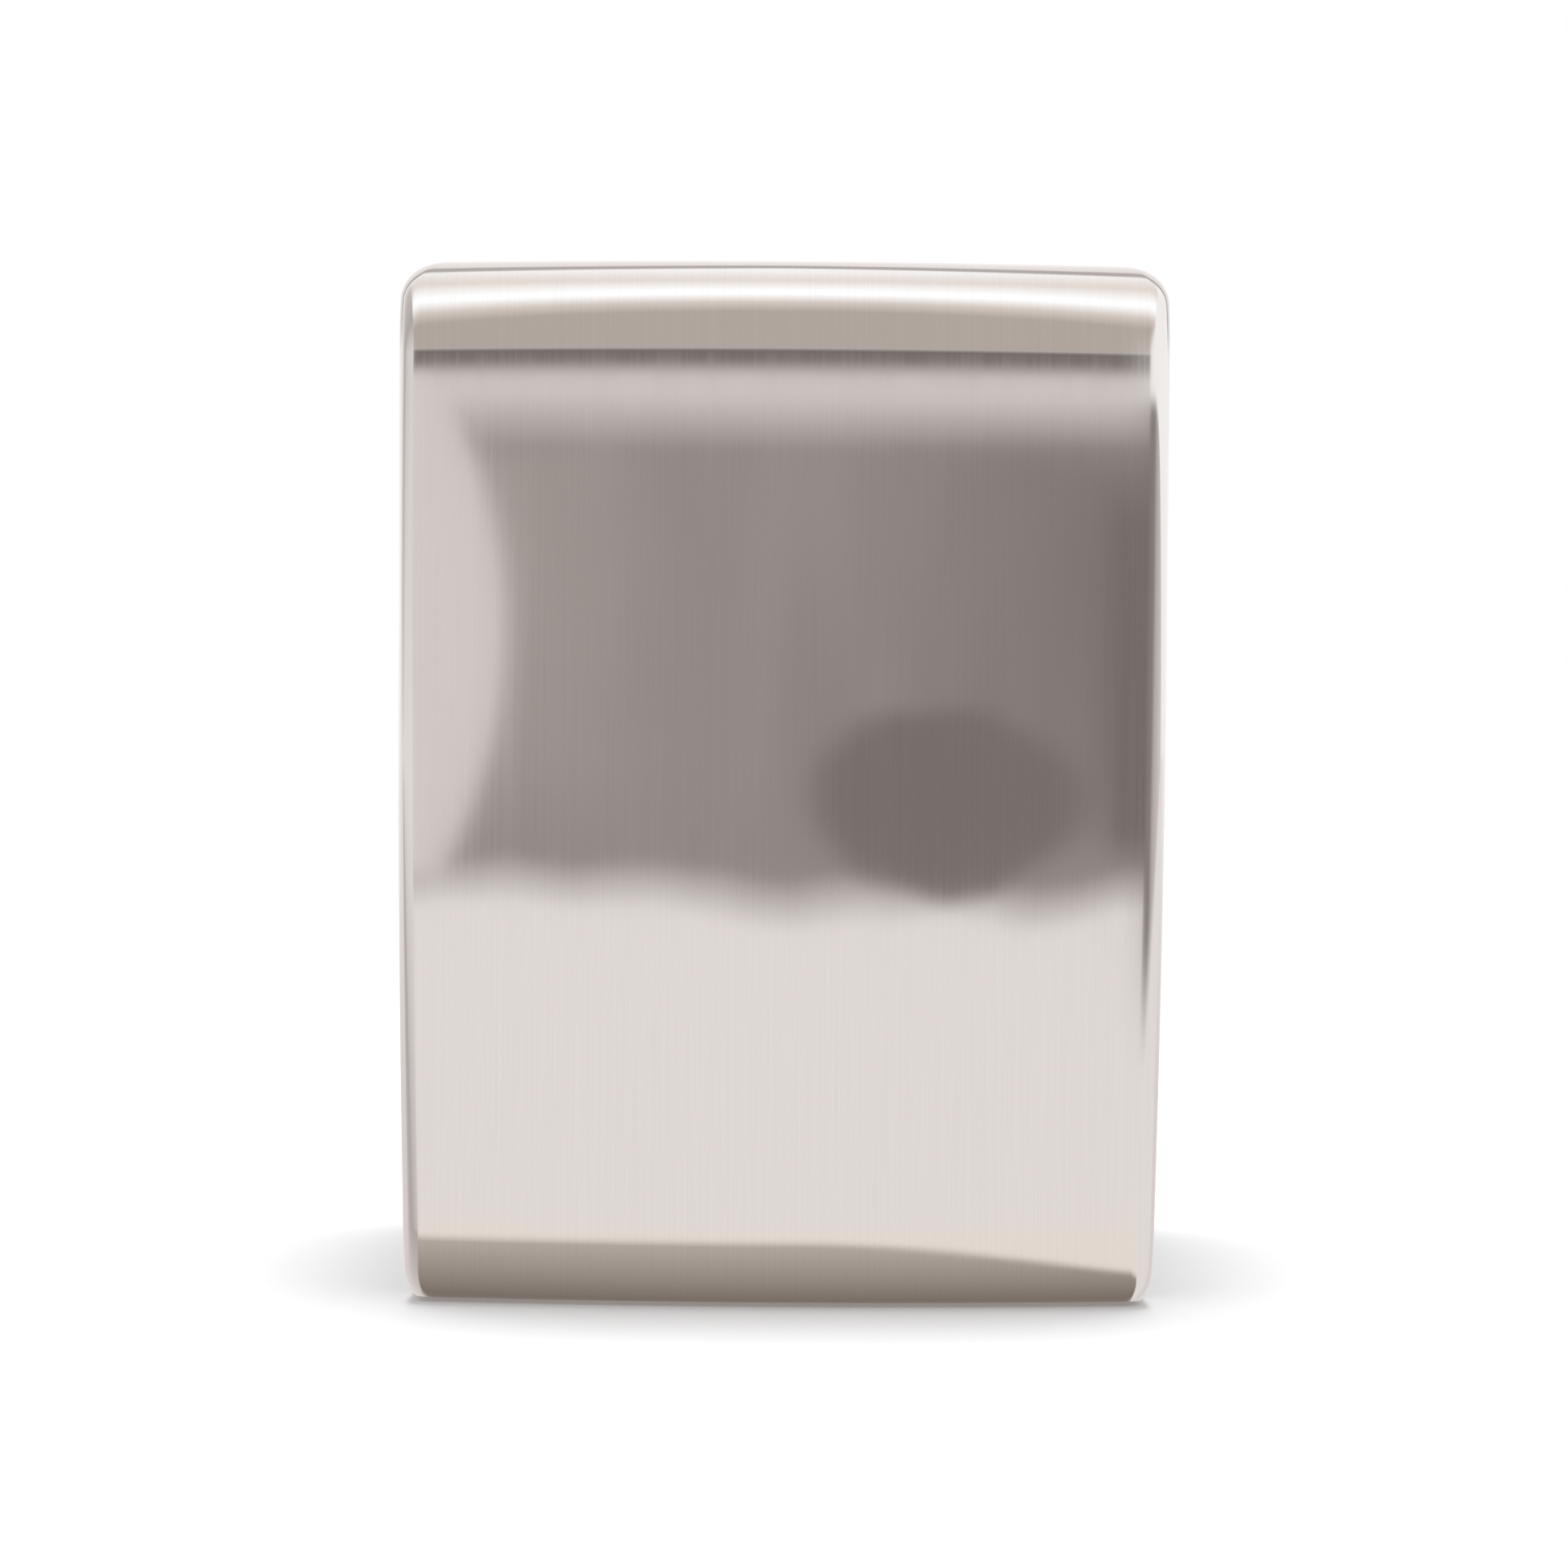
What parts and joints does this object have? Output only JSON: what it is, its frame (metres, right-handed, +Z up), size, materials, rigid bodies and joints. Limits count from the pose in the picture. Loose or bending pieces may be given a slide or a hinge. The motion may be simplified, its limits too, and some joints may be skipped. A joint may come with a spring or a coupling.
{
  "type": "trash compactor",
  "caption": "Freestanding trash compactor: bowed brushed-steel drawer front with rolled top, slide-out bucket, screw-driven ram and chain drive inside a painted cabinet.",
  "frame": {"origin": "on the floor under the middle of the object's box", "axes": "+X to the object's right seen from the front, +Y from the front to the back, +Z up"},
  "size_m": [0.457, 0.5201, 0.621],
  "materials": {
    "stainless_front": "vertical brushed",
    "zinc_steel": "zinc plated",
    "cabinet_paint": "satin",
    "dark_plastic": "fine texture",
    "fastener_steel": "zinc plated",
    "bucket_plastic": "matt",
    "clip_plastic": "matt",
    "seal_rubber": "matt",
    "foot_rubber": "matt",
    "cassette_plastic": "matt",
    "carbon": "porous",
    "ram_steel": "satin",
    "nut_brass": "machined",
    "nylon": "smooth",
    "bright_steel": "turned",
    "chain_steel": "oiled",
    "motor_paint": "satin",
    "capacitor_can": "drawn",
    "panel_gloss": "gloss",
    "lens": "clear tint",
    "button_green": "gloss",
    "button_red": "gloss",
    "lock_chrome": "polished",
    "board_green": "solder mask"
  },
  "bodies": {
    "cabinet": {"slide_outer_members": "zinc_steel", "cabinet_wrap": "cabinet_paint", "front_frame": "cabinet_paint", "drawer_seal": "seal_rubber", "base_pan": "zinc_steel", "rubber_feet": "foot_rubber", "side_sills": "zinc_steel", "ram_columns": "zinc_steel", "rear_posts": "zinc_steel", "back_panel": "zinc_steel", "cabinet_screws": "fastener_steel", "power_inlet": "dark_plastic", "filter_housing": "dark_plastic", "filter_cassette": "cassette_plastic", "carbon_core": "carbon", "odour_fan_frame": "dark_plastic", "screw_foot_brackets": "zinc_steel", "screw_bushes": "nut_brass", "motor_housing": "motor_paint", "drive_chain": "chain_steel", "motor_capacitor": "capacitor_can", "drive_plate": "zinc_steel", "gear_bridge": "zinc_steel", "latch_bracket": "zinc_steel", "position_sensors": "dark_plastic", "control_panel": "panel_gloss", "indicator_lenses": "lens", "control_board": "board_green", "board_standoffs": "nylon", "grip_trough": "dark_plastic"},
    "drawer": {"drawer_front_shell": "stainless_front", "drawer_liner": "zinc_steel", "liner_stiffeners": "zinc_steel", "drawer_tray": "zinc_steel", "drawer_screws": "fastener_steel", "trash_bucket": "bucket_plastic", "bag_clips": "clip_plastic", "slide_inner_members": "zinc_steel", "latch_keeper": "zinc_steel"},
    "slide_middle": {"slide_middle_members": "zinc_steel"},
    "ram": {"ram_plate": "ram_steel", "ram_box": "ram_steel", "ram_crosshead": "ram_steel", "power_nuts": "nut_brass", "guide_shoes": "nylon"},
    "screw_left": {"power_screw_left": "bright_steel", "screw_sprocket_left": "bright_steel"},
    "screw_right": {"power_screw_right": "bright_steel", "screw_sprocket_right": "bright_steel"},
    "jackshaft": {"jackshaft": "bright_steel", "jackshaft_sprocket": "bright_steel", "reduction_gear": "nylon"},
    "motor_rotor": {"motor_pinion_shaft": "bright_steel", "motor_fan": "dark_plastic"},
    "start_button": {"start_button": "button_green"},
    "stop_button": {"stop_button": "button_red"},
    "key_lock": {"key_lock_barrel": "lock_chrome"},
    "latch": {"latch_hook": "bright_steel"},
    "filter_door": {"filter_door": "dark_plastic"},
    "odour_fan": {"odour_fan_rotor": "dark_plastic"}
  },
  "joints": [
    {"name": "drawer_slide", "type": "slide", "parent": "cabinet", "child": "drawer", "axis": [0, -1, 0], "range_m": [0, 0.34]},
    {"name": "slide_middle_run", "type": "slide", "parent": "cabinet", "child": "slide_middle", "axis": [0, -1, 0], "range_m": [0, 0.171]},
    {"name": "ram_slide", "type": "slide", "parent": "cabinet", "child": "ram", "axis": [0, 0, -1], "range_m": [0, 0.16]},
    {"name": "screw_left_spin", "type": "hinge", "parent": "cabinet", "child": "screw_left", "pos_m": [-0.184, -0.005, 0.4], "axis": [0, 0, 1], "range_deg": [-10, 4810]},
    {"name": "screw_right_spin", "type": "hinge", "parent": "cabinet", "child": "screw_right", "pos_m": [0.184, -0.005, 0.4], "axis": [0, 0, 1], "range_deg": [-10, 4810]},
    {"name": "jackshaft_spin", "type": "hinge", "parent": "cabinet", "child": "jackshaft", "pos_m": [0, 0.095, 0.56], "axis": [0, 0, 1], "range_deg": [-20, 9620]},
    {"name": "motor_spin", "type": "hinge", "parent": "cabinet", "child": "motor_rotor", "pos_m": [0, 0.149, 0.56], "axis": [0, 0, 1], "range_deg": [-48100, 100]},
    {"name": "start_press", "type": "slide", "parent": "cabinet", "child": "start_button", "axis": [0, 0, -1], "range_m": [0, 0.0025], "stiffness_N_per_m": 600, "springref_m": -0.001},
    {"name": "stop_press", "type": "slide", "parent": "cabinet", "child": "stop_button", "axis": [0, 0, -1], "range_m": [0, 0.0025], "stiffness_N_per_m": 600, "springref_m": -0.001},
    {"name": "key_turn", "type": "hinge", "parent": "cabinet", "child": "key_lock", "pos_m": [0.088, -0.1, 0.61], "axis": [0, 0, -1], "range_deg": [0, 90]},
    {"name": "latch_pivot", "type": "hinge", "parent": "cabinet", "child": "latch", "pos_m": [0, -0.14, 0.568], "axis": [1, 0, 0], "range_deg": [0, 20], "stiffness_Nm_per_rad": 0.02, "springref_deg": -17.19},
    {"name": "filter_door_hinge", "type": "hinge", "parent": "cabinet", "child": "filter_door", "pos_m": [0, 0.257, 0.119], "axis": [-1, 0, 0], "range_deg": [0, 100]},
    {"name": "odour_fan_spin", "type": "hinge", "parent": "cabinet", "child": "odour_fan", "pos_m": [0, 0.178, 0.22], "axis": [0, 1, 0], "continuous": true}
  ],
  "couplings": [
    {"joint": "slide_middle_run", "follows": "drawer_slide", "ratio": 0.5},
    {"joint": "screw_left_spin", "follows": "ram_slide", "rad_per_m": 523.6},
    {"joint": "screw_right_spin", "follows": "ram_slide", "rad_per_m": 523.6},
    {"joint": "jackshaft_spin", "follows": "ram_slide", "rad_per_m": 1047.2},
    {"joint": "motor_spin", "follows": "ram_slide", "rad_per_m": -5236}
  ]
}
